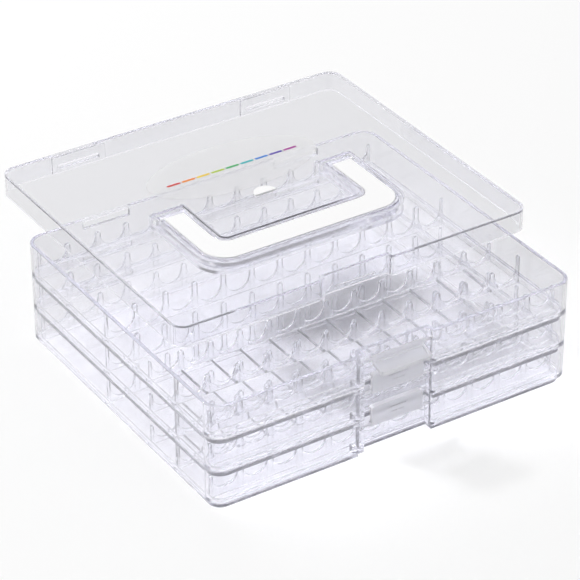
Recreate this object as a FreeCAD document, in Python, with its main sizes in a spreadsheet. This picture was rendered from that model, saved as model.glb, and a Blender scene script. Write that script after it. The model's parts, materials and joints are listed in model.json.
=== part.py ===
import FreeCAD, Part
import math
import os
import Sketcher

# Marker storage case: three clear trays that stack, a clear lid with a fold-flat
# handle, and one snap latch on each tray. Millimetres, +Z up. The origin is the
# middle of the underside of the bottom tray. The lid stands slid back from its
# closed place and the top latch hangs open.

SIZES = {
    "case_width": 232,
    "case_depth": 202,
    "tray_pitch": 20.6,
    "foot_height": 4,
    "foot_inset": 2.8,
    "tray_wall": 2.2,
    "foot_wall": 1.8,
    "floor_thickness": 1.6,
    "corner_radius": 10,
    "bay_half_width": 21,
    "bay_depth": 5.4,
    "bay_edge_radius": 2.2,
    "slot_count": 12,
    "slot_pitch": 18.5,
    "comb_thickness": 1.6,
    "cradle_radius": 7.6,
    "cradle_lift": 2.5,
    "comb_height": 12.5,
    "comb_gap": 0.02,
    "tall_comb_height": 17.5,
    "end_post_height": 18,
    "end_post_width": 2,
    "front_comb_setback": 13,
    "front_comb_height": 14.5,
    "front_slot_radius": 6,
    "front_comb_rise": 5,
    "mid_front_row": 57,
    "mid_row": 30,
    "mid_back_row": 17,
    "back_comb_setback": 9,
    "back_comb_rise": 7,
    "floor_rib_height": 1.4,
    "floor_rib_width": 1.2,
    "window_width": 30,
    "window_height": 4.4,
    "window_drop": 1.6,
    "window_offset": 64,
    "catch_width": 26,
    "catch_height": 1.2,
    "catch_reach": 1.1,
    "catch_rise": 3,
    "latch_width": 33,
    "latch_reach": 5.6,
    "latch_thickness": 1.8,
    "latch_pivot_drop": 5.6,
    "latch_pivot_inset": 2.6,
    "knuckle_radius": 1.7,
    "latch_pin_radius": 1,
    "latch_pin_end": 22.8,
    "pin_flats": 12,
    "latch_back": 0.1,
    "latch_hook_gap": 0.15,
    "latch_corner_radius": 2,
    "latch_groove_width": 12,
    "latch_groove_depth": 0.5,
    "latch_groove_rise": 7.2,
    "latch_groove_height": 0.8,
    "latch_rim": 1.8,
    "latch_hollow_depth": 0.9,
    "latch_open_angle": 112,
    "running_clearance": 0.05,
    "lid_inset": 1.5,
    "lid_height": 13.3,
    "lid_wall": 1.6,
    "lid_top": 1.8,
    "lid_gap": 0.15,
    "lid_shift_right": 12.4,
    "lid_shift_back": 55.6,
    "hook_pad_width": 35,
    "hook_pad_height": 10.5,
    "hook_pad_depth": 1.2,
    "hook_pad_rise": 0.5,
    "hook_slot_width": 27,
    "hook_slot_height": 2.4,
    "hook_slot_rise": 2.6,
    "handle_half_width": 64.7,
    "handle_front": 55.6,
    "handle_leg_width": 17.3,
    "handle_grip_width": 20.5,
    "handle_thickness": 7,
    "handle_drop": 0.3,
    "handle_pivot_back": 4.5,
    "handle_outer_radius": 17,
    "handle_inner_radius": 6,
    "handle_pin_radius": 1.5,
    "handle_pin_bite": 5,
    "inlay_border": 2.2,
    "inlay_thickness": 1.4,
    "inlay_gap": 0.1,
    "inlay_end_gap": 2,
    "well_gap": 1.2,
    "well_floor_gap": 0.6,
    "well_wall": 1.4,
    "pad_radius": 7,
    "pad_thickness": 0.9,
    "pad_front": 5,
}

doc = FreeCAD.newDocument("MarkerCase")
sheet = doc.addObject("Spreadsheet::Sheet", "Sizes")
for row, (alias, value) in enumerate(SIZES.items(), start=1):
    sheet.set("A%d" % row, alias)
    sheet.set("B%d" % row, str(value))
    sheet.setAlias("B%d" % row, alias)
doc.recompute()


def sized(text):
    """Point every size name in an expression at its cell of the sheet."""
    words = []
    for word in text.split():
        bare = word.strip("()-")
        words.append(word.replace(bare, "Sizes." + bare) if bare in SIZES else word)
    return " ".join(words)


def new_body(name):
    body = doc.addObject("PartDesign::Body", name)
    body.Label = name
    return body


def origin_plane(body, role):
    return next(f for f in body.Origin.OriginFeatures if f.Role == role)


def new_sketch(body, name, plane, offset):
    """A sketch on one of the body's own origin planes, moved along its normal."""
    sketch = body.newObject("Sketcher::SketchObject", name)
    sketch.AttachmentSupport = [(origin_plane(body, plane), "")]
    sketch.MapMode = "FlatFace"
    sketch.setExpression("AttachmentOffset.Base.z", sized(offset))
    return sketch


def pin_point(sketch, line, end, across, up):
    """Hold one end of a line at a place worked out from the sheet."""
    for kind, text in (("DistanceX", across), ("DistanceY", up)):
        index = sketch.addConstraint(Sketcher.Constraint(kind, -1, 1, line, end, 1.0))
        sketch.setExpression("Constraints[%d]" % index, sized(text))


def outline(body, name, plane, offset, corners):
    """A closed outline of straight lines through the given corners."""
    sketch = new_sketch(body, name, plane, offset)
    count = len(corners)
    for i in range(count):
        start = FreeCAD.Vector(float(i), float(i * i), 0)
        end = FreeCAD.Vector(float(i + 1), float((i + 1) ** 2), 0)
        sketch.addGeometry(Part.LineSegment(start, end), False)
    for i in range(count):
        sketch.addConstraint(Sketcher.Constraint("Coincident", i, 2, (i + 1) % count, 1))
    for i, (across, up) in enumerate(corners):
        pin_point(sketch, i, 1, across, up)
    return sketch


def rectangle(left, right, low, high):
    return [(left, low), (right, low), (right, high), (left, high)]


def extrude(body, kind, sketch, length, reverse=False, middle=False):
    """Pad or pocket a sketch by a length from the sheet, and check that it did something."""
    feature = body.newObject("PartDesign::" + kind, sketch.Name + kind)
    feature.Profile = sketch
    feature.Reversed = reverse
    feature.SideType = "Symmetric" if middle else "One side"
    feature.setExpression("Length", sized(length))
    before = body.Tip.Shape.Volume if body.Tip and body.Tip.Name != feature.Name else 0
    sketch.Visibility = False
    doc.recompute()
    if feature.Shape.isNull():
        raise RuntimeError("%s failed: %s" % (feature.Name, feature.getStatusString()))
    if abs(feature.Shape.Volume - before) < 1e-6:
        raise RuntimeError(feature.Name + " changed nothing")
    return feature


def pattern(body, feature, sketch, length, count):
    """Repeat a feature along the sketch's horizontal axis."""
    row = body.newObject("PartDesign::LinearPattern", feature.Name + "Row")
    row.Originals = [feature]
    row.Direction = (sketch, ["H_Axis"])
    row.setExpression("Length", sized(length))
    row.setExpression("Occurrences", sized(count))
    body.Tip = row
    doc.recompute()
    return row


def upright_edges(shape, wanted):
    """Names of the shape's edges along Z whose middle the test accepts."""
    names = []
    for number, edge in enumerate(shape.Edges, start=1):
        ends = [v.Point for v in edge.Vertexes]
        if len(ends) != 2 or abs(ends[0].x - ends[1].x) + abs(ends[0].y - ends[1].y) > 1e-6:
            continue
        if wanted((ends[0] + ends[1]) * 0.5):
            names.append("Edge%d" % number)
    return names


def round_edges(body, name, edges, radius):
    before = body.Tip
    feature = body.newObject("PartDesign::Fillet", name)
    feature.Base = (before, edges)
    feature.setExpression("Radius", sized(radius))
    doc.recompute()
    if feature.Shape.isNull():
        raise RuntimeError("%s failed: %s" % (feature.Name, feature.getStatusString()))
    return feature


def box_corners(body, half_across, half_deep, low, high):
    """The upright edges at the corners of a box about the middle, between two heights."""
    def wanted(point):
        across = abs(abs(point.x) - half_across) < 0.01
        return across and abs(abs(point.y) - half_deep) < 0.01 and low < point.z < high
    return upright_edges(body.Tip.Shape, wanted)


def notched(half_across, half_deep, notch_half, notch_line):
    """A rectangle whose front side steps back in the middle, for the latch bay."""
    return [
        ("-( " + half_across + " )", "-( " + half_deep + " )"),
        ("-( " + notch_half + " )", "-( " + half_deep + " )"),
        ("-( " + notch_half + " )", "-( " + notch_line + " )"),
        (notch_half, "-( " + notch_line + " )"),
        (notch_half, "-( " + half_deep + " )"),
        (half_across, "-( " + half_deep + " )"),
        (half_across, half_deep),
        ("-( " + half_across + " )", half_deep),
    ]


HALF_WIDTH = SIZES["case_width"] / 2
HALF_DEPTH = SIZES["case_depth"] / 2
RIM = SIZES["foot_height"] + SIZES["tray_pitch"]
BAY_LINE = "case_depth / 2 - bay_depth"


def tray_shell(body):
    """Walls flush with the next tray's, on a smaller foot that nests in the rim below."""
    foot = outline(body, "Foot", "XY_Plane", "0", notched(
        "case_width / 2 - foot_inset", "case_depth / 2 - foot_inset",
        "bay_half_width + foot_inset", BAY_LINE + " - foot_inset"))
    extrude(body, "Pad", foot, "foot_height")
    walls = outline(body, "Walls", "XY_Plane", "foot_height", notched(
        "case_width / 2", "case_depth / 2", "bay_half_width", BAY_LINE))
    extrude(body, "Pad", walls, "tray_pitch")
    space = outline(body, "Space", "XY_Plane", "foot_height + tray_pitch", notched(
        "case_width / 2 - tray_wall", "case_depth / 2 - tray_wall",
        "bay_half_width + tray_wall", BAY_LINE + " - tray_wall"))
    extrude(body, "Pocket", space, "tray_pitch - floor_thickness")
    well = outline(body, "Well", "XY_Plane", "foot_height + floor_thickness", notched(
        "case_width / 2 - foot_inset - foot_wall", "case_depth / 2 - foot_inset - foot_wall",
        "bay_half_width + foot_inset + foot_wall", BAY_LINE + " - foot_inset - foot_wall"))
    extrude(body, "Pocket", well, "foot_height")
    step = SIZES["foot_inset"] + SIZES["foot_wall"]
    for name, inset, radius in (
            ("WellCorners", step, "corner_radius - foot_inset - foot_wall"),
            ("SpaceCorners", SIZES["tray_wall"], "corner_radius - tray_wall"),
            ("FootCorners", SIZES["foot_inset"], "corner_radius - foot_inset"),
            ("WallCorners", 0, "corner_radius")):
        edges = box_corners(body, HALF_WIDTH - inset, HALF_DEPTH - inset, 0, RIM)
        round_edges(body, name, edges, radius)
    edges = box_corners(body, SIZES["bay_half_width"], HALF_DEPTH, 0, RIM)
    round_edges(body, "BayEdges", edges, "bay_edge_radius")


def arc_points(across, up, radius, start, turn, facets):
    """Points at even steps along an arc, for a curve that repeats too often to stay round."""
    points = []
    for step in range(facets + 1):
        angle = math.radians(start + turn * step / facets)
        points.append((across + " + ( %.5f ) * ( %s )" % (math.cos(angle), radius),
                       up + " + ( %.5f ) * ( %s )" % (math.sin(angle), radius)))
    return points


def cradle_outline(radius, rise, height, facets):
    """One marker's place in a comb: a half-round seat between two pointed posts."""
    centre = "-( slot_count - 1 ) / 2 * slot_pitch"
    seat = arc_points(centre, "floor_thickness + " + rise + " + " + radius, radius, 180, 180, facets)
    top = "floor_thickness + " + height
    shoulder = top + " - ( slot_pitch / 2 - " + radius + " )"
    right = [(centre + " + " + radius, shoulder), (centre + " + slot_pitch / 2", top),
             (centre + " + slot_pitch / 2", top + " + 1")]
    left = [(centre + " - slot_pitch / 2", top + " + 1"), (centre + " - slot_pitch / 2", top),
            (centre + " - " + radius, shoulder)]
    return seat + right + left


def make_comb(name, offset, radius, rise, height, facets, tall_ends=False):
    """An upright plate across the tray with a cradle for each marker."""
    body = new_body(name)
    half = "slot_count * slot_pitch / 2"
    foot = "floor_thickness + comb_gap"
    plate = outline(body, name + "Plate", "XZ_Plane", offset, rectangle(
        "-( " + half + " )", half, foot, "floor_thickness + " + height))
    extrude(body, "Pad", plate, "comb_thickness", middle=True)
    cradle = outline(body, name + "Cradle", "XZ_Plane", offset, cradle_outline(radius, rise, height, facets))
    cut = extrude(body, "Pocket", cradle, "comb_thickness + 1", middle=True)
    pattern(body, cut, cradle, "( slot_count - 1 ) * slot_pitch", "slot_count")
    if tall_ends:
        for side, label in ((-1, "Left"), (1, "Right")):
            near = "%d * ( %s - end_post_width )" % (side, half)
            post = outline(body, name + label + "Post", "XZ_Plane", offset, rectangle(
                near, "%d * ( %s )" % (side, half), foot, "floor_thickness + end_post_height"))
            extrude(body, "Pad", post, "comb_thickness", middle=True)
    return body


def floor_ribs(body):
    """Low ribs along the floor between the markers' places, from one comb to the next."""
    half = "floor_rib_width / 2"
    middle = "-( slot_count / 2 - 1 ) * slot_pitch"
    clear = "( comb_thickness / 2 + 0.05 )"
    rib = outline(body, "Rib", "XY_Plane", "floor_thickness / 2", rectangle(
        middle + " - " + half, middle + " + " + half,
        "-( mid_front_row ) + " + clear, "-( mid_row ) - " + clear))
    pad = extrude(body, "Pad", rib, "floor_thickness / 2 + floor_rib_height")
    pattern(body, pad, rib, "( slot_count - 2 ) * slot_pitch", "slot_count - 1")


def back_windows(body):
    """Two slots through the back wall under the rim, for the clips of the part above."""
    for side, name in ((-1, "WindowLeft"), (1, "WindowRight")):
        middle = "%d * window_offset" % side
        high = "foot_height + tray_pitch - window_drop"
        corners = rectangle(middle + " - window_width / 2", middle + " + window_width / 2",
                            high + " - window_height", high)
        window = outline(body, name, "XZ_Plane", "-( case_depth / 2 - tray_wall / 2 )", corners)
        extrude(body, "Pocket", window, "tray_wall + 1", middle=True)


def bay_catch(body, name, line, low):
    """A ridge across the bay's back wall that the latch's hook sits over."""
    corners = rectangle("-( catch_width / 2 )", "catch_width / 2", low, low + " + catch_height")
    ridge = outline(body, name, "XZ_Plane", line + " - 0.5", corners)
    extrude(body, "Pad", ridge, "catch_reach + 0.5")


def disc(body, name, offset, along, up, radius):
    """A circle on a plane square to the X axis."""
    sketch = new_sketch(body, name, "YZ_Plane", offset)
    sketch.addGeometry(Part.Circle(FreeCAD.Vector(1, 1, 0), FreeCAD.Vector(0, 0, 1), 1), False)
    index = sketch.addConstraint(Sketcher.Constraint("Radius", 0, 1.0))
    sketch.setExpression("Constraints[%d]" % index, sized(radius))
    pin_point(sketch, 0, 3, along, up)
    return sketch


def pin_outline(body, name, along, up, radius):
    """The latch pins' outline, with flats instead of a round, on the plane square to the X axis."""
    flats = int(SIZES["pin_flats"])
    ring = arc_points(along, up, radius, 0, 360, flats)
    return outline(body, name, "YZ_Plane", "0", ring[:-1])


def latch_holes(body):
    """Holes in both sides of the bay for the latch's stub pins, whose flats clear the pins' corners."""
    hole = pin_outline(body, "PinHole", "-( case_depth / 2 - latch_pivot_inset )",
                       "foot_height + tray_pitch - latch_pivot_drop",
                       "( latch_pin_radius + running_clearance ) / cos( 180 / pin_flats )")
    extrude(body, "Pocket", hole, "2 * ( bay_half_width + tray_wall ) + 4", middle=True)


def make_tray(name):
    body = new_body(name)
    tray_shell(body)
    floor_ribs(body)
    back_windows(body)
    bay_catch(body, "Catch", BAY_LINE, "foot_height + catch_rise")
    latch_holes(body)
    return body


LATCH_FRONT = "-( latch_thickness - latch_back )"


def make_latch(name):
    """A plate on a round root with stub pins, drawn about its pivot and standing closed."""
    body = new_body(name)
    top = "latch_pivot_drop + latch_reach"
    under = "latch_pivot_drop + catch_rise + catch_height + latch_hook_gap"
    tip = "case_depth / 2 - latch_pivot_inset - ( " + BAY_LINE + " + catch_reach + latch_hook_gap )"
    side = outline(body, "Plate", "YZ_Plane", "0", [
        (LATCH_FRONT, "0"), ("latch_back", "0"), ("latch_back", under),
        (tip, under), (tip, top), (LATCH_FRONT, top)])
    extrude(body, "Pad", side, "latch_width", middle=True)
    extrude(body, "Pad", disc(body, "Root", "0", "0", "0", "knuckle_radius"), "latch_width", middle=True)
    pins = pin_outline(body, "Pins", "0", "0", "latch_pin_radius")
    extrude(body, "Pad", pins, "2 * latch_pin_end", middle=True)
    groove = outline(body, "Groove", "XZ_Plane", "latch_thickness - latch_back", rectangle(
        "-( latch_groove_width / 2 )", "latch_groove_width / 2",
        "latch_groove_rise", "latch_groove_rise + latch_groove_height"))
    extrude(body, "Pocket", groove, "latch_groove_depth")
    hollow = outline(body, "Hollow", "XZ_Plane", "-( latch_back )", rectangle(
        "-( latch_width / 2 - latch_rim )", "latch_width / 2 - latch_rim",
        "knuckle_radius + latch_rim / 2", under + " - latch_rim / 2"))
    extrude(body, "Pocket", hollow, "latch_hollow_depth", reverse=True)
    half = SIZES["latch_width"] / 2
    reach = SIZES["latch_pivot_drop"] + SIZES["latch_reach"]
    names = []
    for number, edge in enumerate(body.Tip.Shape.Edges, start=1):
        ends = [v.Point for v in edge.Vertexes]
        if (len(ends) == 2 and abs(ends[0].x - ends[1].x) < 0.01
                and all(abs(abs(p.x) - half) < 0.01 and abs(p.z - reach) < 0.01 for p in ends)):
            names.append("Edge%d" % number)
    round_edges(body, "PlateCorners", names, "latch_corner_radius")
    return body


def handle_outline(body, name, height, grow, back):
    """The handle's U, open to the back, with every side moved out by the same amount."""
    out = "handle_half_width + " + grow
    front = "handle_front + " + grow
    inner = "handle_half_width - handle_leg_width - ( " + grow + " )"
    inner_front = "handle_front - handle_grip_width - ( " + grow + " )"
    return outline(body, name, "XY_Plane", height, [
        ("-( " + out + " )", back), ("-( " + out + " )", "-( " + front + " )"),
        (out, "-( " + front + " )"), (out, back),
        (inner, back), (inner, "-( " + inner_front + " )"),
        ("-( " + inner + " )", "-( " + inner_front + " )"), ("-( " + inner + " )", back)])


def bend_edges(body, grow, low, high):
    """The upright edges at the U's outer and inner bends."""
    def outer(point):
        across = SIZES["handle_half_width"] + grow
        front = SIZES["handle_front"] + grow
        return (abs(abs(point.x) - across) < 0.01 and abs(point.y + front) < 0.01
                and low < point.z < high)

    def inner(point):
        across = SIZES["handle_half_width"] - SIZES["handle_leg_width"] - grow
        front = SIZES["handle_front"] - SIZES["handle_grip_width"] - grow
        return (abs(abs(point.x) - across) < 0.01 and abs(point.y + front) < 0.01
                and low < point.z < high)
    return outer, inner


def round_bend(body, name, grow, text, high, inside):
    """Round the two inner or the two outer bends of the U."""
    outer, inner = bend_edges(body, grow, 0, high)
    if inside:
        round_edges(body, name + "Inner", upright_edges(body.Tip.Shape, inner),
                    "handle_inner_radius - ( " + text + " )")
    else:
        round_edges(body, name + "Outer", upright_edges(body.Tip.Shape, outer),
                    "handle_outer_radius + " + text)


def round_channel(body, solid, solid_grow, channel, channel_grow, high):
    """Round a U-shaped solid and the channel in it, in the order that never breaks a wall."""
    grow = sum(SIZES[part] for part in solid_grow)
    text = " + ".join(solid_grow) or "0"
    sign = -1 if channel_grow[0] == "inlay_border" else 1
    sunk = sign * SIZES[channel_grow[0]]
    sunk_text = "( %d ) * %s" % (sign, channel_grow[0])
    round_bend(body, channel, sunk, sunk_text, high, False)
    round_bend(body, solid, grow, text, high, False)
    round_bend(body, solid, grow, text, high, True)
    round_bend(body, channel, sunk, sunk_text, high, True)


HANDLE_TOP = "lid_height - handle_drop"
PIVOT_UP = HANDLE_TOP + " - handle_thickness / 2"
WELL_BACK = "handle_pivot_back + handle_thickness / 2 + well_gap"


def make_lid(name):
    """A top plate with a skirt, a latch bay, and a sunk well that the handle folds into."""
    body = new_body(name)
    shell = outline(body, "Shell", "XY_Plane", "0", notched(
        "case_width / 2 - lid_inset", "case_depth / 2 - lid_inset", "bay_half_width", BAY_LINE))
    extrude(body, "Pad", shell, "lid_height")
    hollow = outline(body, "Hollow", "XY_Plane", "0", notched(
        "case_width / 2 - lid_inset - lid_wall", "case_depth / 2 - lid_inset - lid_wall",
        "bay_half_width + lid_wall", BAY_LINE + " - lid_wall"))
    extrude(body, "Pocket", hollow, "lid_height - lid_top", reverse=True)
    for label, inset, radius in (
            ("HollowCorners", SIZES["lid_inset"] + SIZES["lid_wall"], "corner_radius - lid_inset - lid_wall"),
            ("ShellCorners", SIZES["lid_inset"], "corner_radius - lid_inset")):
        edges = box_corners(body, HALF_WIDTH - inset, HALF_DEPTH - inset, 0, SIZES["lid_height"])
        round_edges(body, label, edges, radius)
    edges = box_corners(body, SIZES["bay_half_width"], HALF_DEPTH - SIZES["lid_inset"], 0, SIZES["lid_height"])
    round_edges(body, "LidBay", edges, "bay_edge_radius")
    handle_well(body)
    hook_pads(body)
    bay_catch(body, "LidCatch", BAY_LINE, "catch_rise - lid_gap")
    return body


def handle_well(body):
    depth = "handle_drop + handle_thickness + well_floor_gap"
    block = handle_outline(body, "WellBlock", "lid_height - ( " + depth + " ) - well_wall",
                           "well_gap + well_wall", WELL_BACK + " + well_wall")
    extrude(body, "Pad", block, depth + " + well_wall - lid_top / 2")
    sink = handle_outline(body, "Sink", "lid_height", "well_gap", WELL_BACK)
    extrude(body, "Pocket", sink, depth)
    round_channel(body, "WellBlock", ("well_gap", "well_wall"), "Sink", ("well_gap",), SIZES["lid_height"])
    radius = "handle_pin_radius + running_clearance"
    outside = "handle_half_width + well_gap + well_wall + 1"
    left = disc(body, "LeftPinHole", "-( " + outside + " )", "handle_pivot_back", PIVOT_UP, radius)
    extrude(body, "Pocket", left, "well_wall + 2", reverse=True)
    right = disc(body, "RightPinHole", outside, "handle_pivot_back", PIVOT_UP, radius)
    extrude(body, "Pocket", right, "well_wall + 2")


def hook_pads(body):
    """Two thickened places in the back skirt, each with a slot, that line up with the windows."""
    inside = "case_depth / 2 - lid_inset - lid_wall"
    for side, label in ((-1, "Left"), (1, "Right")):
        middle = "%d * window_offset" % side
        corners = rectangle(middle + " - hook_pad_width / 2", middle + " + hook_pad_width / 2",
                            "hook_pad_rise", "hook_pad_rise + hook_pad_height")
        thick = outline(body, label + "Pad", "XZ_Plane", "-( " + inside + " + 0.5 )", corners)
        extrude(body, "Pad", thick, "hook_pad_depth + 0.5")
        corners = rectangle(middle + " - hook_slot_width / 2", middle + " + hook_slot_width / 2",
                            "hook_slot_rise", "hook_slot_rise + hook_slot_height")
        slot = outline(body, label + "Slot", "XZ_Plane", "-( " + inside + " )", corners)
        extrude(body, "Pocket", slot, "2 * ( hook_pad_depth + lid_wall + 1 )", middle=True)


def make_handle(name):
    body = new_body(name)
    end = "handle_pivot_back + handle_thickness / 2"
    bar = handle_outline(body, "Bar", HANDLE_TOP + " - handle_thickness", "0", end)
    extrude(body, "Pad", bar, "handle_thickness")
    recess = handle_outline(body, "Recess", HANDLE_TOP, "-( inlay_border )",
                            "handle_pivot_back - inlay_end_gap")
    extrude(body, "Pocket", recess, "inlay_thickness + inlay_gap")
    round_channel(body, "Bar", (), "Recess", ("inlay_border",), SIZES["lid_height"])
    finish = SIZES["handle_pivot_back"] + SIZES["handle_thickness"] / 2
    names = []
    for number, edge in enumerate(body.Tip.Shape.Edges, start=1):
        ends = [v.Point for v in edge.Vertexes]
        if len(ends) == 2 and all(abs(p.y - finish) < 0.01 for p in ends) and abs(ends[0].z - ends[1].z) < 0.01:
            names.append("Edge%d" % number)
    round_edges(body, "LegEnds", names, "handle_thickness / 2 - 0.1")
    radius = "handle_pin_radius + running_clearance"
    outside = "handle_half_width + 1"
    left = disc(body, "LeftPinHole", "-( " + outside + " )", "handle_pivot_back", PIVOT_UP, radius)
    extrude(body, "Pocket", left, "handle_pin_bite + 1.3", reverse=True)
    right = disc(body, "RightPinHole", outside, "handle_pivot_back", PIVOT_UP, radius)
    extrude(body, "Pocket", right, "handle_pin_bite + 1.3")
    return body


def make_inlay(name):
    body = new_body(name)
    shrink = "-( inlay_border + inlay_gap )"
    strip = handle_outline(body, "Strip", HANDLE_TOP + " - inlay_thickness", shrink,
                           "handle_pivot_back - inlay_end_gap - inlay_gap")
    extrude(body, "Pad", strip, "inlay_thickness")
    inset = SIZES["inlay_border"] + SIZES["inlay_gap"]
    for inside in (False, True):
        round_bend(body, "Strip", -inset, shrink, SIZES["lid_height"], inside)
    return body


def place(thing, right, back, up, angle="0"):
    """Put a part at a place worked out from the sheet, turned about the X axis."""
    for axis, text in (("x", right), ("y", back), ("z", up)):
        thing.setExpression("Placement.Base." + axis, sized(text))
    thing.Placement.Rotation = FreeCAD.Rotation(FreeCAD.Vector(1, 0, 0), 0)
    if angle != "0":
        thing.setExpression("Placement.Rotation.Angle", sized(angle))


def twin(original, name):
    """A second moulding from the same tool."""
    body = new_body(name)
    copy = body.newObject("PartDesign::FeatureBase", name + "Copy")
    copy.BaseFeature = original
    body.Tip = copy
    return body


LID_PLACE = ("lid_shift_right", "lid_shift_back", "3 * tray_pitch + foot_height + lid_gap")

tray_bottom = make_tray("tray_bottom")
tray_middle = twin(tray_bottom, "tray_middle")
tray_top = twin(tray_bottom, "tray_top")
latch_bottom = make_latch("latch_bottom")
latch_middle = twin(latch_bottom, "latch_middle")
latch_top = twin(latch_bottom, "latch_top")
for level, (tray, latch) in enumerate((
        (tray_bottom, latch_bottom), (tray_middle, latch_middle), (tray_top, latch_top))):
    place(tray, "0", "0", "%d * tray_pitch" % level)
    place(latch, "0", "-( case_depth / 2 - latch_pivot_inset )",
          "%d * tray_pitch + foot_height - latch_pivot_drop" % (level + 1),
          "latch_open_angle" if latch is latch_top else "0")

combs = [
    make_comb("comb_bottom_front", "case_depth / 2 - front_comb_setback", "front_slot_radius",
              "front_comb_rise", "front_comb_height", 4),
    make_comb("comb_bottom_mid_front", "mid_front_row", "cradle_radius", "cradle_lift",
              "comb_height", 5, tall_ends=True),
    make_comb("comb_bottom_mid", "mid_row", "cradle_radius", "cradle_lift", "comb_height", 5),
    make_comb("comb_bottom_mid_back", "-( mid_back_row )", "cradle_radius", "cradle_lift",
              "tall_comb_height", 4),
    make_comb("comb_bottom_back", "-( case_depth / 2 - back_comb_setback )", "cradle_radius",
              "back_comb_rise", "tall_comb_height", 4),
]
for level, tier in enumerate(("middle", "top"), start=1):
    for comb in combs[:5]:
        raised = twin(comb, comb.Name.replace("bottom", tier))
        place(raised, "0", "0", "%d * tray_pitch" % level)
        combs.append(raised)

lid = make_lid("lid")
handle = make_handle("handle")
inlay = make_inlay("handle_inlay")
for thing in (lid, handle, inlay):
    place(thing, *LID_PLACE)

pins = []
for side in (-1, 1):
    pin = doc.addObject("Part::Cylinder", "HandlePin" + ("Left" if side < 0 else "Right"))
    pin.setExpression("Radius", sized("handle_pin_radius"))
    pin.setExpression("Height", sized("handle_pin_bite + well_gap + well_wall"))
    pin.Placement.Rotation = FreeCAD.Rotation(FreeCAD.Vector(0, 1, 0), 90)
    start = "handle_half_width - handle_pin_bite" if side > 0 else "-( handle_half_width + well_gap + well_wall )"
    pin.setExpression("Placement.Base.x", sized("lid_shift_right + " + start))
    pin.setExpression("Placement.Base.y", sized("lid_shift_back + handle_pivot_back"))
    pin.setExpression("Placement.Base.z", sized(LID_PLACE[2] + " + " + PIVOT_UP))
    pins.append(pin)
handle_pins = doc.addObject("Part::Compound", "handle_pins")
handle_pins.Label = "handle_pins"
handle_pins.Links = pins

half_disc = doc.addObject("Part::Cylinder", "half_round_pad")
half_disc.Label = "half_round_pad"
half_disc.setExpression("Radius", sized("pad_radius"))
half_disc.setExpression("Height", sized("pad_thickness"))
half_disc.Angle = 180
place(half_disc, "lid_shift_right", "lid_shift_back - pad_front", LID_PLACE[2] + " + lid_height")

doc.recompute()
NODES = [tray_bottom, tray_middle, tray_top] + combs + [
         latch_bottom, latch_middle, latch_top, lid, handle, inlay, handle_pins, half_disc]

for thing in doc.Objects:
    if "Invalid" in thing.State or "Error" in thing.State:
        raise RuntimeError("%s did not build: %s" % (thing.Label, thing.State))
for thing in NODES:
    if thing.Shape.isNull() or not thing.Shape.isValid():
        raise RuntimeError(thing.Label + " has no valid shape")
os.makedirs("parts", exist_ok=True)
for thing in NODES:
    thing.Shape.exportStep(os.path.join("parts", thing.Label + ".step"))
    box = thing.Shape.BoundBox
    print("%-16s %2d solid %9.0f mm3  x %7.1f %7.1f  y %7.1f %7.1f  z %6.2f %6.2f" % (
        thing.Label, len(thing.Shape.Solids), thing.Shape.Volume,
        box.XMin, box.XMax, box.YMin, box.YMax, box.ZMin, box.ZMax))
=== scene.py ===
"""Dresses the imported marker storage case: clear mouldings, frosted latches, a white
handle strip, a printed row of colour dashes, and a plain pale studio."""

import json
import math

import bmesh
import bpy
from bpy.props import FloatProperty, FloatVectorProperty, IntProperty, PointerProperty
from mathutils import Euler, Matrix, Vector

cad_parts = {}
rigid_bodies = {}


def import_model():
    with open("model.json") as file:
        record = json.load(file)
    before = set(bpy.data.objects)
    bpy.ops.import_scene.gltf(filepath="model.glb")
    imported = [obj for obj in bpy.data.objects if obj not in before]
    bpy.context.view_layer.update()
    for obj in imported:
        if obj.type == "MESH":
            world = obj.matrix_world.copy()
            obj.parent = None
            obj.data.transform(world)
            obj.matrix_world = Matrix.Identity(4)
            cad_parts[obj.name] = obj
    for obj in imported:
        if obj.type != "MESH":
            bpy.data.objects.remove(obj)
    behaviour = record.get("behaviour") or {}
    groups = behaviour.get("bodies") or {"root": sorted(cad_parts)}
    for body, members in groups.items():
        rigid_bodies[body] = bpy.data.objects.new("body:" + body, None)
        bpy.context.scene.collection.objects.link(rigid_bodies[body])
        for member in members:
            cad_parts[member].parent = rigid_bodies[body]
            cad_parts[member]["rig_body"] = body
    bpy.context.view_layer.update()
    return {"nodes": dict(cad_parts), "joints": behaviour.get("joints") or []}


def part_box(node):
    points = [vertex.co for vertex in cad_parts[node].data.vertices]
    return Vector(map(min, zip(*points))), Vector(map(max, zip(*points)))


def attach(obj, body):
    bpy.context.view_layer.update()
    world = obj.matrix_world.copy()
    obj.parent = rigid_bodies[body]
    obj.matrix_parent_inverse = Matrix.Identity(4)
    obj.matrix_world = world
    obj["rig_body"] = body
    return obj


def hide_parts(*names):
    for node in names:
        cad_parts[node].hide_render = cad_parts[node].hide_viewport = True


bl_info = {
    "name": "Marker storage case",
    "version": (1, 0, 0),
    "blender": (4, 5, 0),
    "location": "3D View > Sidebar > Marker case",
    "description": "Finishes for a clear stacking marker case and its studio",
    "category": "Object",
}

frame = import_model()
nodes = frame["nodes"]

TIERS = ("bottom", "middle", "top")
COMB_NODES = tuple(
    "comb_%s_%s" % (tier, row) for tier in TIERS for row in ("front", "mid_front", "mid", "mid_back", "back"))
TRAY_NODES = ("tray_bottom", "tray_middle", "tray_top")
LATCH_NODES = ("latch_bottom", "latch_middle", "latch_top")
WHITE_NODES = ("handle_inlay", "handle_pins", "half_round_pad")
WELD = 0.000001
FLAT = math.radians(1)
CREASE = math.radians(35)
MARK_RISE = 0.0006
MARK_WIDTH = 0.0006
MARK_BREAK = 0.0008
MARK_HEIGHT = 0.45
MARK_ROUND = 0.00012
OVAL_STEPS = 72
GROUND_LIFT = 0.00002
GROUND_SKIN = 0.00004
DASH_LIFT = 0.00012


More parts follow.
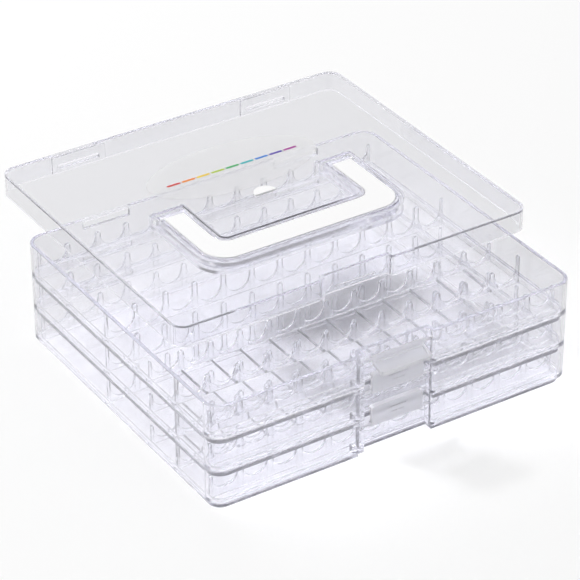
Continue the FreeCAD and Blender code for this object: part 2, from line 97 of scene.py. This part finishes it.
class PlasticSettings(bpy.types.PropertyGroup):
    """Colours of the case's plastics."""

    clear_tint: FloatVectorProperty(
        name="Clear tint", description="Colour that thick clear plastic takes on along its edges",
        subtype="COLOR", size=3, min=0, max=1, default=(0.54, 0.52, 0.88))
    clear_depth: FloatProperty(
        name="Tint density", description="How soon light is tinted on its way through the clear plastic, per metre",
        default=5.0, min=0, max=200)
    clear_roughness: FloatProperty(
        name="Clear roughness", description="Roughness of the clear mouldings", default=0.02, min=0, max=1)
    clear_share: FloatProperty(
        name="Clearness", description="Share of the light that passes the clear plastic, the rest is haze",
        default=0.985, min=0, max=1)
    tray_edge: FloatProperty(
        name="Tray edges", description="How far the trays' edges are rounded over",
        default=0.0003, min=0, max=0.002, unit="LENGTH")
    comb_edge: FloatProperty(
        name="Rest edges", description="How far the edges of the marker rests are rounded over",
        default=0.0003, min=0, max=0.002, unit="LENGTH")
    lid_edge: FloatProperty(
        name="Lid edges", description="How far the lid's edges are rounded over",
        default=0.00018, min=0, max=0.002, unit="LENGTH")
    handle_edge: FloatProperty(
        name="Handle edges", description="How far the handle's edges are rounded over",
        default=0.0007, min=0, max=0.002, unit="LENGTH")
    latch_edge: FloatProperty(
        name="Latch edges", description="How far the latches' edges are rounded over",
        default=0.00012, min=0, max=0.002, unit="LENGTH")
    mark_length: FloatProperty(
        name="Latch mark", description="Length of each half of the raised line on a latch",
        default=0.0038, min=0.001, max=0.015, unit="LENGTH")
    air_gap: FloatProperty(
        name="Air gap", description="Air that each moulding leaves round itself where it meets the next",
        default=0.00002, min=0, max=0.001, unit="LENGTH")
    wave_depth: FloatProperty(
        name="Surface waves", description="Height of the slow waves a moulded surface has",
        default=0.00002, min=0, max=0.001, unit="LENGTH")
    frost_colour: FloatVectorProperty(
        name="Latch colour", description="Colour of the frosted latches",
        subtype="COLOR", size=3, min=0, max=1, default=(0.97, 0.97, 0.99))
    frost_roughness: FloatProperty(
        name="Latch roughness", description="Roughness of the frosted latches", default=0.28, min=0, max=1)
    white_colour: FloatVectorProperty(
        name="White plastic", description="Colour of the handle's strip and of the half-round pad",
        subtype="COLOR", size=3, min=0, max=1, default=(0.95, 0.95, 0.95))


class PrintSettings(bpy.types.PropertyGroup):
    """The row of colour dashes on the lid."""

    dash_count: IntProperty(
        name="Dashes", description="How many dashes stand in the row", default=9, min=1, max=24)
    row_width: FloatProperty(
        name="Row width", description="Length of the row of dashes", default=0.088, min=0.01, max=0.2, unit="LENGTH")
    dash_height: FloatProperty(
        name="Dash width", description="Width of each dash across the row", default=0.0016,
        min=0.0005, max=0.02, unit="LENGTH")
    oval_reach: FloatProperty(
        name="Oval half length", description="Half the length of the frosted oval under the row",
        default=0.055, min=0.01, max=0.1, unit="LENGTH")
    oval_depth: FloatProperty(
        name="Oval half width", description="Half the width of the frosted oval under the row",
        default=0.026, min=0.005, max=0.05, unit="LENGTH")
    row_back: FloatProperty(
        name="Row behind the lid's middle", description="Distance of the row behind the middle of the lid",
        default=0.031, min=-0.09, max=0.09, unit="LENGTH")


class StageSettings(bpy.types.PropertyGroup):
    """Floor, light and camera."""

    floor_colour: FloatVectorProperty(
        name="Floor", description="Colour of the floor", subtype="COLOR", size=3, min=0, max=1,
        default=(0.93, 0.93, 0.93))
    # Painted shade: a darker copy of the floor colour, seen only by rays that came through the clear case, standing
    # in for the shade inside it
    floor_painted_shade: FloatVectorProperty(
        name="Floor through plastic", description="Colour that the floor shows through the clear case",
        subtype="COLOR", size=3, min=0, max=1, default=(0.73, 0.73, 0.74))
    ambient: FloatProperty(
        name="Ambient light", description="Strength of the even light from all round", default=0.66, min=0, max=5)
    key_power: FloatProperty(
        name="Key lamp", description="Power of the large lamp behind and left of the case",
        default=31.0, min=0, max=1000, unit="POWER")
    lens: FloatProperty(
        name="Lens", description="Focal length of the camera on a 36 mm sensor", default=178.4, min=10, max=500)
    camera_place: FloatVectorProperty(
        name="Camera place", description="Where the camera stands", subtype="TRANSLATION", size=3,
        default=(-0.7318, -1.1369, 0.8969))
    camera_turn: FloatVectorProperty(
        name="Camera turn", description="Compass angle, height angle and roll of the camera",
        subtype="EULER", size=3, default=(-0.5694, 0.5619, -0.0029))


def fresh_material(name):
    """A new material with an empty node tree but for its output."""
    material = bpy.data.materials.new(name)
    material.use_nodes = True
    tree = material.node_tree
    tree.nodes.clear()
    output = tree.nodes.new("ShaderNodeOutputMaterial")
    return material, tree, output


def soft_bump(tree, scale, height, detail=2.0):
    """Slow unevenness in the surface, in metres of height."""
    place = tree.nodes.new("ShaderNodeTexCoord")
    noise = tree.nodes.new("ShaderNodeTexNoise")
    noise.inputs["Scale"].default_value = scale
    noise.inputs["Detail"].default_value = detail
    bump = tree.nodes.new("ShaderNodeBump")
    bump.inputs["Strength"].default_value = 1.0
    bump.inputs["Distance"].default_value = height
    tree.links.new(place.outputs["Object"], noise.inputs["Vector"])
    tree.links.new(noise.outputs["Fac"], bump.inputs["Height"])
    return bump


def clear_plastic(name, settings):
    """Clear moulded plastic that tints light along thick edges and lets lamps through."""
    material, tree, output = fresh_material(name)
    body = tree.nodes.new("ShaderNodeBsdfPrincipled")
    body.inputs["Base Color"].default_value = (0.985, 0.985, 0.995, 1)
    body.inputs["Roughness"].default_value = settings.clear_roughness
    body.inputs["IOR"].default_value = 1.49
    body.inputs["Transmission Weight"].default_value = settings.clear_share
    bump = soft_bump(tree, 55.0, settings.wave_depth)
    tree.links.new(bump.outputs["Normal"], body.inputs["Normal"])
    through = tree.nodes.new("ShaderNodeBsdfTransparent")
    through.inputs["Color"].default_value = (0.96, 0.96, 0.965, 1)
    path = tree.nodes.new("ShaderNodeLightPath")
    mix = tree.nodes.new("ShaderNodeMixShader")
    tree.links.new(path.outputs["Is Shadow Ray"], mix.inputs["Fac"])
    tree.links.new(body.outputs["BSDF"], mix.inputs[1])
    tree.links.new(through.outputs["BSDF"], mix.inputs[2])
    tree.links.new(mix.outputs["Shader"], output.inputs["Surface"])
    depth = tree.nodes.new("ShaderNodeVolumeAbsorption")
    depth.inputs["Color"].default_value = (*settings.clear_tint, 1)
    depth.inputs["Density"].default_value = settings.clear_depth
    tree.links.new(depth.outputs["Volume"], output.inputs["Volume"])
    return material


def frosted_plastic(name, settings):
    """Milky flexible plastic of the latches."""
    material, tree, output = fresh_material(name)
    body = tree.nodes.new("ShaderNodeBsdfPrincipled")
    body.inputs["Base Color"].default_value = (*settings.frost_colour, 1)
    body.inputs["Roughness"].default_value = settings.frost_roughness
    body.inputs["IOR"].default_value = 1.45
    body.inputs["Transmission Weight"].default_value = 0.85
    bump = soft_bump(tree, 900.0, 0.00004, 4.0)
    tree.links.new(bump.outputs["Normal"], body.inputs["Normal"])
    tree.links.new(body.outputs["BSDF"], output.inputs["Surface"])
    return material


def white_plastic(name, colour):
    """Opaque white moulded plastic with a fine grain."""
    material, tree, output = fresh_material(name)
    body = tree.nodes.new("ShaderNodeBsdfPrincipled")
    body.inputs["Roughness"].default_value = 0.38
    body.inputs["Base Color"].default_value = (*colour, 1)
    bump = soft_bump(tree, 2500.0, 0.00001, 3.0)
    tree.links.new(bump.outputs["Normal"], body.inputs["Normal"])
    tree.links.new(body.outputs["BSDF"], output.inputs["Surface"])
    return material


def printed_ink(name, colour):
    """Flat ink printed on the lid."""
    material, tree, output = fresh_material(name)
    body = tree.nodes.new("ShaderNodeBsdfPrincipled")
    body.inputs["Base Color"].default_value = (*colour, 1)
    body.inputs["Roughness"].default_value = 0.45
    bump = soft_bump(tree, 4000.0, 0.000005)
    tree.links.new(bump.outputs["Normal"], body.inputs["Normal"])
    tree.links.new(body.outputs["BSDF"], output.inputs["Surface"])
    return material


def faint_frost(name):
    """The lightly frosted ground that the colour dashes are printed on."""
    material, tree, output = fresh_material(name)
    body = tree.nodes.new("ShaderNodeBsdfPrincipled")
    body.inputs["Base Color"].default_value = (0.98, 0.98, 0.98, 1)
    body.inputs["Roughness"].default_value = 0.22
    body.inputs["IOR"].default_value = 1.1
    body.inputs["Transmission Weight"].default_value = 0.86
    bump = soft_bump(tree, 1800.0, 0.000008, 3.0)
    tree.links.new(bump.outputs["Normal"], body.inputs["Normal"])
    tree.links.new(body.outputs["BSDF"], output.inputs["Surface"])
    return material


def give(names, material):
    for name in names:
        for slot in nodes[name].material_slots:
            slot.material = material


def new_mesh(name, shape):
    """An object from a bmesh."""
    mesh = bpy.data.meshes.new(name)
    shape.to_mesh(mesh)
    shape.free()
    thing = bpy.data.objects.new(name, mesh)
    bpy.context.scene.collection.objects.link(thing)
    return thing


def round_over(shape, radius, segments):
    """Round the sharp edges of a shape."""
    sharp = [edge for edge in shape.edges if edge.calc_face_angle(0) > CREASE]
    bmesh.ops.bevel(
        shape, geom=sharp, offset=radius, offset_type="OFFSET", segments=segments, profile=0.5,
        affect="EDGES", clamp_overlap=False, loop_slide=True)


def soften(name, radius, segments, air):
    """A moulding's form with its sharp edges rounded over and a hair of air all round it."""
    shape = bmesh.new()
    shape.from_mesh(nodes[name].data)
    bmesh.ops.remove_doubles(shape, verts=shape.verts[:], dist=WELD)
    bmesh.ops.dissolve_limit(shape, angle_limit=FLAT, verts=shape.verts[:], edges=shape.edges[:])
    round_over(shape, radius, segments)
    shape.normal_update()
    for vertex in shape.verts:
        vertex.co -= vertex.normal * air
    return shape


def stand_in(name, shape, material):
    """Put a finished shape in the place of its plain node."""
    for face in shape.faces:
        face.smooth = True
    piece = new_mesh(name + "_moulding", shape)
    piece.data.materials.append(material)
    even = piece.modifiers.new("even_shading", "WEIGHTED_NORMAL")
    even.keep_sharp = True
    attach(piece, nodes[name]["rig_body"])
    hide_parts(name)
    return piece


def mould(name, radius, segments, air, material):
    """Put the softened form of a node in its place."""
    return stand_in(name, soften(name, radius, segments, air), material)


class CASE_OT_trays(bpy.types.Operator):
    """Mould the three trays in clear plastic"""

    bl_idname = "marker_case.trays"
    bl_label = "Trays"

    def execute(self, context):
        settings = context.scene.case_plastic
        material = clear_plastic("clear_moulding", settings)
        for name in TRAY_NODES:
            mould(name, settings.tray_edge, 2, settings.air_gap, material)
        return {"FINISHED"}


ROWS = {
    "front": {"reach": 0.0074, "drop": 0.0062, "rise": 0.0050, "height": 0.0145},
    "mid_front": {"reach": 0.0076, "drop": 0.0076, "rise": 0.0025, "height": 0.0125},
    "mid": {"reach": 0.0076, "drop": 0.0076, "rise": 0.0025, "height": 0.0125},
    "mid_back": {"reach": 0.0076, "drop": 0.0076, "rise": 0.0025, "height": 0.0175},
    "back": {"reach": 0.0076, "drop": 0.0076, "rise": 0.0070, "height": 0.0175},
}
PLACES = 12
SEAT_STEPS = 18
TIP_STEPS = 8


def half_round(across, up, reach, height, start, turn, steps):
    """Points along part of an ellipse, from one angle in degrees through a turn."""
    angles = (math.radians(start + turn * step / steps) for step in range(steps + 1))
    return [(across + reach * math.cos(angle), up + height * math.sin(angle)) for angle in angles]


def rest_outline(low, high, row):
    """The upper edge of one row of marker rests, from left to right: round seats between round-tipped fingers."""
    pitch = (high.x - low.x) / PLACES
    finger = pitch / 2 - row["reach"]
    seat = low.z + row["rise"] + row["drop"]
    top = low.z + row["height"] - finger
    line = []
    for place in range(PLACES):
        middle = low.x + (place + 0.5) * pitch
        line += half_round(middle, seat, row["reach"], row["drop"], 180, 180, SEAT_STEPS)
        if place < PLACES - 1:
            line += half_round(middle + pitch / 2, top, finger, finger, 180, -180, TIP_STEPS)
    if high.z - top - finger > 0.001:
        tip = finger / 2
        left = half_round(low.x + tip, high.z - tip, tip, tip, 180, -180, TIP_STEPS)
        right = half_round(high.x - tip, high.z - tip, tip, tip, 180, -180, TIP_STEPS)
    else:
        left = half_round(low.x, top, finger, finger, 90, -90, TIP_STEPS)
        right = half_round(high.x, top, finger, finger, 180, -90, TIP_STEPS)
    return left + line + right


def columns_of(line):
    """The points of an outline that runs from left to right, in groups that stand over each other."""
    columns = [[line[0]]]
    for point in line[1:]:
        if abs(point[0] - columns[-1][0][0]) < WELD:
            if abs(point[1] - columns[-1][-1][1]) > WELD:
                columns[-1].append(point)
        else:
            columns.append([point])
    return columns


def rest_row(name, row, edge, air):
    """A row of marker rests as an upright plate with softened edges."""
    low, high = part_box(name)
    columns = columns_of(rest_outline(low, high, row))
    shape = bmesh.new()
    feet = []
    upper = []
    for depth in (low.y + air, high.y - air):
        foot = [shape.verts.new((column[0][0], depth, low.z)) for column in columns]
        rise = [[shape.verts.new((across, depth, up)) for across, up in column] for column in columns]
        for number in range(len(columns) - 1):
            after = rise[number + 1]
            before = rise[number]
            corners = [foot[number], foot[number + 1]]
            corners += [point for point in reversed(after) if point.co.z < after[0].co.z]
            corners += [after[0], before[-1]]
            corners += [point for point in reversed(before) if point.co.z < before[-1].co.z]
            shape.faces.new(corners)
        feet.append(foot)
        upper.append([foot[0]] + [point for column in rise for point in column] + [foot[-1]])
    for front, back in (feet, upper):
        for step in range(len(front) - 1):
            shape.faces.new((front[step], front[step + 1], back[step + 1], back[step]))
    bmesh.ops.recalc_face_normals(shape, faces=shape.faces[:])
    round_over(shape, edge, 2)
    return shape


class CASE_OT_combs(bpy.types.Operator):
    """Mould the rows of marker rests on the trays' floors"""

    bl_idname = "marker_case.combs"
    bl_label = "Marker rests"

    def execute(self, context):
        settings = context.scene.case_plastic
        material = bpy.data.materials["clear_moulding"]
        for name in COMB_NODES:
            row = ROWS[name.split("_", 2)[2]]
            shape = rest_row(name, row, settings.comb_edge, settings.air_gap)
            stand_in(name, shape, material)
        return {"FINISHED"}


class CASE_OT_lid(bpy.types.Operator):
    """Mould the clear lid"""

    bl_idname = "marker_case.lid"
    bl_label = "Lid"

    def execute(self, context):
        settings = context.scene.case_plastic
        mould("lid", settings.lid_edge, 2, settings.air_gap, bpy.data.materials["clear_moulding"])
        return {"FINISHED"}


class CASE_OT_handle(bpy.types.Operator):
    """Mould the clear folding handle"""

    bl_idname = "marker_case.handle"
    bl_label = "Handle"

    def execute(self, context):
        settings = context.scene.case_plastic
        mould(
            "handle", settings.handle_edge, 3, settings.air_gap, bpy.data.materials["clear_moulding"])
        return {"FINISHED"}


class CASE_OT_frosted_latches(bpy.types.Operator):
    """Give the three latches their milky plastic"""

    bl_idname = "marker_case.frosted_latches"
    bl_label = "Frosted latches"

    def execute(self, context):
        settings = context.scene.case_plastic
        material = frosted_plastic("frosted_latch", settings)
        for name in LATCH_NODES:
            mould(name, settings.latch_edge, 2, settings.air_gap, material)
        return {"FINISHED"}


def opening_turn(joint_name):
    """The turn that brings a latch from shut to where it stands open."""
    joint = next(item for item in frame["joints"] if item["name"] == joint_name)
    anchor = Vector(joint["pos_m"])
    turn = Matrix.Rotation(math.radians(-joint["range_deg"][0]), 4, Vector(joint["axis"]))
    return Matrix.Translation(anchor) @ turn @ Matrix.Translation(-anchor)


class CASE_OT_latch_marks(bpy.types.Operator):
    """Raise the short broken line on the face of each latch"""

    bl_idname = "marker_case.latch_marks"
    bl_label = "Latch marks"

    def execute(self, context):
        settings = context.scene.case_plastic
        material = bpy.data.materials["frosted_latch"]
        low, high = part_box("latch_middle")
        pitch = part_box("tray_top")[0].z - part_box("tray_middle")[0].z
        for level, tier in ((-1, "bottom"), (0, "middle"), (1, "top")):
            shape = bmesh.new()
            for side in (-1, 1):
                made = bmesh.ops.create_cube(shape, size=1.0)["verts"]
                size = Vector((settings.mark_length, MARK_RISE, MARK_WIDTH))
                middle = Vector((
                    side * (settings.mark_length + MARK_BREAK) / 2, low.y,
                    low.z + MARK_HEIGHT * (high.z - low.z) + level * pitch))
                for vertex in made:
                    vertex.co = Vector(vertex.co[i] * size[i] + middle[i] for i in range(3))
            round_over(shape, MARK_ROUND, 2)
            if tier == "top":
                bmesh.ops.transform(shape, matrix=opening_turn("latch_top_swing"), verts=shape.verts[:])
            for face in shape.faces:
                face.smooth = True
            mark = new_mesh("latch_mark_" + tier, shape)
            mark.data.materials.append(material)
            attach(mark, "latch_" + tier)
        return {"FINISHED"}


class CASE_OT_white_trim(bpy.types.Operator):
    """Give the handle's strip, its pins and the half-round pad their white plastic"""

    bl_idname = "marker_case.white_trim"
    bl_label = "White trim"

    def execute(self, context):
        give(WHITE_NODES, white_plastic("white_trim", context.scene.case_plastic.white_colour))
        return {"FINISHED"}


DASH_COLOURS = (
    (0.62, 0.05, 0.04), (0.85, 0.25, 0.03), (0.85, 0.60, 0.05), (0.45, 0.60, 0.08), (0.05, 0.40, 0.12),
    (0.03, 0.42, 0.45), (0.04, 0.20, 0.62), (0.10, 0.06, 0.40), (0.38, 0.04, 0.30))


class CASE_OT_lid_print(bpy.types.Operator):
    """Print the row of colour dashes on the lid"""

    bl_idname = "marker_case.lid_print"
    bl_label = "Colour dashes"

    def execute(self, context):
        settings = context.scene.case_print
        low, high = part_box("lid")
        middle = (low[0] + high[0]) / 2
        back = (low[1] + high[1]) / 2 + settings.row_back
        step = settings.row_width / settings.dash_count
        for number in range(settings.dash_count):
            start = middle - settings.row_width / 2 + number * step
            shape = bmesh.new()
            bmesh.ops.create_cube(shape, size=1.0)
            size = (step * 0.86, settings.dash_height, 0.00012)
            centre = (start + step / 2, back, high[2] + DASH_LIFT)
            for vertex in shape.verts:
                vertex.co = Vector(centre[i] + vertex.co[i] * size[i] for i in range(3))
            dash = new_mesh("colour_dash_%d" % (number + 1), shape)
            colour = DASH_COLOURS[number % len(DASH_COLOURS)]
            dash.data.materials.append(printed_ink("ink_%d" % (number + 1), colour))
            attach(dash, "lid")
        return {"FINISHED"}


def floor_material(colour, through):
    """A pale floor that looks near white to the camera and keeps its shadow. Rays that come through the clear case
    see a darker copy of it, a painted shade.
    """
    material, tree, output = fresh_material("pale_floor")
    body = tree.nodes.new("ShaderNodeBsdfDiffuse")
    body.inputs["Color"].default_value = (*colour, 1)
    # Painted shade: a darker diffuse copy of the floor, used for rays that came through the clear case
    painted_shade_floor = tree.nodes.new("ShaderNodeBsdfDiffuse")
    painted_shade_floor.inputs["Color"].default_value = (*through, 1)
    white = tree.nodes.new("ShaderNodeEmission")
    white.inputs["Color"].default_value = (1, 1, 1, 1)
    path = tree.nodes.new("ShaderNodeLightPath")
    under = tree.nodes.new("ShaderNodeMixShader")
    tree.links.new(path.outputs["Is Transmission Ray"], under.inputs["Fac"])
    tree.links.new(body.outputs["BSDF"], under.inputs[1])
    tree.links.new(painted_shade_floor.outputs["BSDF"], under.inputs[2])
    share = tree.nodes.new("ShaderNodeMath")
    share.operation = "MULTIPLY"
    tree.links.new(path.outputs["Is Camera Ray"], share.inputs[0])
    share.inputs[1].default_value = 0.5
    mix = tree.nodes.new("ShaderNodeMixShader")
    tree.links.new(share.outputs["Value"], mix.inputs["Fac"])
    tree.links.new(under.outputs["Shader"], mix.inputs[1])
    tree.links.new(white.outputs["Emission"], mix.inputs[2])
    tree.links.new(mix.outputs["Shader"], output.inputs["Surface"])
    return material


def studio_world(ambient):
    """Even light, with darker bands that only clear and shiny surfaces pick up."""
    world = bpy.data.worlds.new("studio")
    bpy.context.scene.world = world
    world.use_nodes = True
    tree = world.node_tree
    tree.nodes.clear()
    output = tree.nodes.new("ShaderNodeOutputWorld")
    place = tree.nodes.new("ShaderNodeTexCoord")
    split = tree.nodes.new("ShaderNodeSeparateXYZ")
    tree.links.new(place.outputs["Generated"], split.inputs["Vector"])
    ramp = tree.nodes.new("ShaderNodeValToRGB")
    height = tree.nodes.new("ShaderNodeMapRange")
    height.inputs["From Min"].default_value = -1.0
    height.inputs["From Max"].default_value = 1.0
    tree.links.new(split.outputs["Z"], height.inputs["Value"])
    tree.links.new(height.outputs["Result"], ramp.inputs["Fac"])
    stops = ramp.color_ramp.elements
    stops[0].position = 0.0
    stops[0].color = (0.82, 0.82, 0.86, 1)
    stops[1].position = 1.0
    stops[1].color = (1, 1, 1, 1)
    bands = ((0.46, (0.84, 0.84, 0.88)), (0.52, (0.56, 0.55, 0.66)), (0.58, (0.64, 0.63, 0.72)),
             (0.66, (0.97, 0.97, 1.0)))
    for position, shade in bands:
        stop = stops.new(position)
        stop.color = (*shade, 1)
    seen = tree.nodes.new("ShaderNodeBackground")
    tree.links.new(ramp.outputs["Color"], seen.inputs["Color"])
    seen.inputs["Strength"].default_value = 1.0
    plain = tree.nodes.new("ShaderNodeBackground")
    plain.inputs["Color"].default_value = (1, 1, 1, 1)
    plain.inputs["Strength"].default_value = 1.0
    light = tree.nodes.new("ShaderNodeBackground")
    light.inputs["Color"].default_value = (1, 1, 1, 1)
    light.inputs["Strength"].default_value = ambient
    path = tree.nodes.new("ShaderNodeLightPath")
    both = tree.nodes.new("ShaderNodeMath")
    both.operation = "MAXIMUM"
    tree.links.new(path.outputs["Is Glossy Ray"], both.inputs[0])
    tree.links.new(path.outputs["Is Transmission Ray"], both.inputs[1])
    shiny = tree.nodes.new("ShaderNodeMixShader")
    tree.links.new(both.outputs["Value"], shiny.inputs["Fac"])
    tree.links.new(light.outputs["Background"], shiny.inputs[1])
    tree.links.new(seen.outputs["Background"], shiny.inputs[2])
    camera = tree.nodes.new("ShaderNodeMixShader")
    tree.links.new(path.outputs["Is Camera Ray"], camera.inputs["Fac"])
    tree.links.new(shiny.outputs["Shader"], camera.inputs[1])
    tree.links.new(plain.outputs["Background"], camera.inputs[2])
    tree.links.new(camera.outputs["Shader"], output.inputs["Surface"])


def add_lamp(name, place, aim, size, power):
    lamp = bpy.data.lights.new(name, "AREA")
    lamp.shape = "RECTANGLE"
    lamp.size = size[0]
    lamp.size_y = size[1]
    lamp.energy = power
    thing = bpy.data.objects.new(name, lamp)
    bpy.context.scene.collection.objects.link(thing)
    thing.location = place
    thing.rotation_euler = (Vector(aim) - Vector(place)).to_track_quat("-Z", "Y").to_euler()
    return thing


class CASE_OT_print_ground(bpy.types.Operator):
    """Lay the faint frosted oval under the row of colour dashes"""

    bl_idname = "marker_case.print_ground"
    bl_label = "Frosted oval"

    def execute(self, context):
        settings = context.scene.case_print
        low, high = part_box("lid")
        middle = (low[0] + high[0]) / 2
        back = (low[1] + high[1]) / 2 + settings.row_back
        edge = half_round(middle, back, settings.oval_reach, settings.oval_depth, 0, 360, OVAL_STEPS)[:-1]
        shape = bmesh.new()
        lower = [shape.verts.new((across, along, high[2] + GROUND_LIFT)) for across, along in edge]
        upper = [shape.verts.new((across, along, high[2] + GROUND_LIFT + GROUND_SKIN)) for across, along in edge]
        shape.faces.new(reversed(lower))
        shape.faces.new(upper)
        for number in range(len(edge)):
            after = (number + 1) % len(edge)
            shape.faces.new((lower[number], lower[after], upper[after], upper[number]))
        ground = new_mesh("frosted_oval", shape)
        ground.data.materials.append(faint_frost("faint_frost"))
        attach(ground, "lid")
        return {"FINISHED"}


class CASE_OT_studio(bpy.types.Operator):
    """Add the floor, the light and the camera"""

    bl_idname = "marker_case.studio"
    bl_label = "Studio"

    def execute(self, context):
        settings = context.scene.case_stage
        scene = context.scene
        scene.view_settings.view_transform = "Standard"
        scene.cycles.max_bounces = 64
        scene.cycles.transmission_bounces = 64
        scene.cycles.glossy_bounces = 24
        scene.cycles.transparent_max_bounces = 128
        shape = bmesh.new()
        bmesh.ops.create_grid(shape, x_segments=1, y_segments=1, size=8.0)
        floor = new_mesh("floor", shape)
        floor.location.z = -0.0002
        floor.data.materials.append(floor_material(settings.floor_colour, settings.floor_painted_shade))
        studio_world(settings.ambient)
        add_lamp("key_lamp", (-0.9, 1.5, 1.9), (0, 0, 0.03), (0.4, 0.4), settings.key_power)
        azimuth, height, roll = settings.camera_turn
        back = Vector((math.sin(azimuth) * math.cos(height), -math.cos(azimuth) * math.cos(height), math.sin(height)))
        right = Vector((math.cos(azimuth), math.sin(azimuth), 0))
        up = back.cross(right)
        turned_right = math.cos(roll) * right + math.sin(roll) * up
        turned_up = -math.sin(roll) * right + math.cos(roll) * up
        camera = bpy.data.objects.new("camera", bpy.data.cameras.new("camera"))
        scene.collection.objects.link(camera)
        camera.data.lens = settings.lens
        camera.data.sensor_width = 36.0
        camera.data.clip_end = 50.0
        turn = Matrix((turned_right, turned_up, back)).transposed().to_4x4()
        camera.matrix_world = Matrix.Translation(Vector(settings.camera_place)) @ turn
        scene.camera = camera
        return {"FINISHED"}


class CASE_PT_panel(bpy.types.Panel):
    """The steps that dress the case, in order"""

    bl_label = "Marker case"
    bl_idname = "CASE_PT_panel"
    bl_space_type = "VIEW_3D"
    bl_region_type = "UI"
    bl_category = "Marker case"

    def draw(self, context):
        for group in ("case_plastic", "case_print", "case_stage"):
            box = self.layout.box()
            settings = getattr(context.scene, group)
            for name in settings.__annotations__:
                box.prop(settings, name)
        for operator in OPERATORS:
            self.layout.operator(operator.bl_idname)


OPERATORS = (
    CASE_OT_trays,
    CASE_OT_combs,
    CASE_OT_lid,
    CASE_OT_handle,
    CASE_OT_frosted_latches,
    CASE_OT_latch_marks,
    CASE_OT_white_trim,
    CASE_OT_print_ground,
    CASE_OT_lid_print,
    CASE_OT_studio,
)
CLASSES = (PlasticSettings, PrintSettings, StageSettings) + OPERATORS + (CASE_PT_panel,)


def register():
    for item in CLASSES:
        bpy.utils.register_class(item)
    bpy.types.Scene.case_plastic = PointerProperty(type=PlasticSettings)
    bpy.types.Scene.case_print = PointerProperty(type=PrintSettings)
    bpy.types.Scene.case_stage = PointerProperty(type=StageSettings)


def unregister():
    del bpy.types.Scene.case_stage
    del bpy.types.Scene.case_print
    del bpy.types.Scene.case_plastic
    for item in reversed(CLASSES):
        bpy.utils.unregister_class(item)


def main():
    register()
    bpy.ops.marker_case.trays()
    bpy.ops.marker_case.combs()
    bpy.ops.marker_case.lid()
    bpy.ops.marker_case.handle()
    bpy.ops.marker_case.frosted_latches()
    bpy.ops.marker_case.latch_marks()
    bpy.ops.marker_case.white_trim()
    bpy.ops.marker_case.print_ground()
    bpy.ops.marker_case.lid_print()
    bpy.ops.marker_case.studio()


if __name__ == "__main__":
    main()
